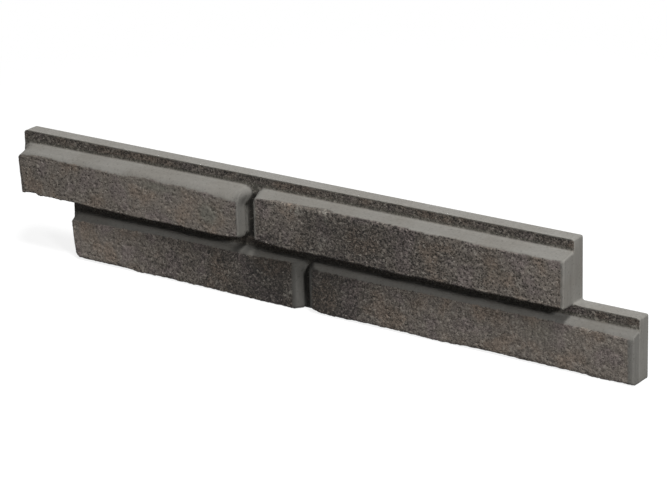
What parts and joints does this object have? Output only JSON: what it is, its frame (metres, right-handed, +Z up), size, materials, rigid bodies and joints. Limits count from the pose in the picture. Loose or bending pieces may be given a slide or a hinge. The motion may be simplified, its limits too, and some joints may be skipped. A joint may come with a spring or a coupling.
{
  "type": "concrete cladding tile",
  "caption": "Wall cladding tile cast in one piece: two staggered courses of long brick faces on a backing plate with a lip above each course.",
  "frame": {"origin": "centre of the tile's box at its underside", "axes": "+X along the courses to the right, +Y to the wall, +Z up"},
  "size_m": [0.6596, 0.032, 0.115],
  "materials": {
    "concrete": "grey concrete, coarse on the brick fronts, smooth on the ends and tops"
  },
  "bodies": {
    "root": {"cladding_tile": "concrete"}
  },
  "joints": []
}
